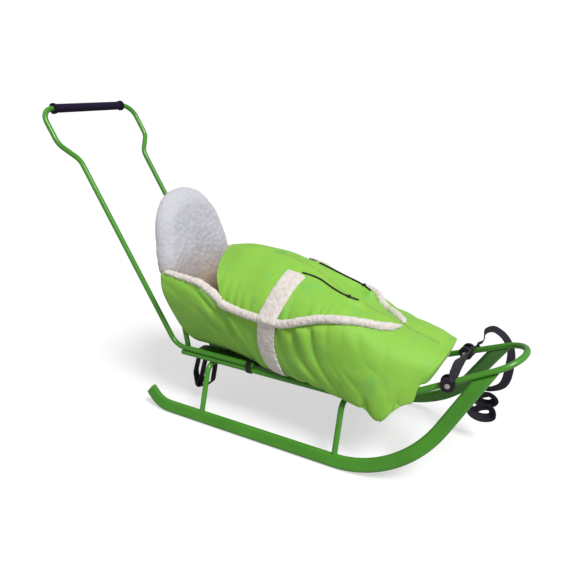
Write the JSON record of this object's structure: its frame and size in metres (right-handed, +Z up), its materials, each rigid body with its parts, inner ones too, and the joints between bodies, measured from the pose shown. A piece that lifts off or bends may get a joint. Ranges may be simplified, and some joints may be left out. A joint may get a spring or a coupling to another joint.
{
  "type": "child push sled with footmuff",
  "caption": "Child's steel-tube sled on bent runners with a rear push handle, a front tow loop and a fleece-lined padded footmuff on a slatted seat.",
  "frame": {"origin": "on the floor under the middle of the overall length", "axes": "+X forward to the tow loop, +Y to the rider's left, +Z up"},
  "size_m": [1.4498, 0.4312, 0.9294],
  "materials": {
    "green_paint": "glossy green paint on steel",
    "slat_paint": "satin green paint on wood",
    "grip_foam": "matt closed-cell foam",
    "black_plastic": "moulded plastic, slight gloss",
    "steel": "bright zinc plate",
    "webbing": "woven polypropylene webbing",
    "nylon": "coated nylon, soft sheen",
    "fleece": "deep curly fleece",
    "cord_black": "braided cord"
  },
  "bodies": {
    "root": {"arch_front": "green_paint", "arch_rear": "green_paint", "backrest_frame": "green_paint", "bag_apron": "nylon", "bag_back": "fleece", "bag_belt_left": "fleece", "bag_belt_right": "fleece", "bag_piping_left": "fleece", "bag_piping_right": "fleece", "bag_rim_left": "fleece", "bag_rim_right": "fleece", "bag_tub": "nylon", "clip_left": "black_plastic", "clip_right": "black_plastic", "cord_knot_left": "cord_black", "cord_knot_right": "cord_black", "cross_strap": "webbing", "drawcord_left": "cord_black", "drawcord_right": "cord_black", "frame_loop": "green_paint", "handle_grip": "grip_foam", "knob_bolt_left": "steel", "knob_bolt_right": "steel", "knob_left": "black_plastic", "knob_right": "black_plastic", "push_handle": "green_paint", "runner_left": "green_paint", "runner_right": "green_paint", "seat_slat_1": "slat_paint", "seat_slat_2": "slat_paint", "seat_slat_3": "slat_paint", "seat_slat_4": "slat_paint", "seat_straps": "webbing", "strap_buckle": "black_plastic", "tow_strap": "webbing"}
  },
  "joints": []
}
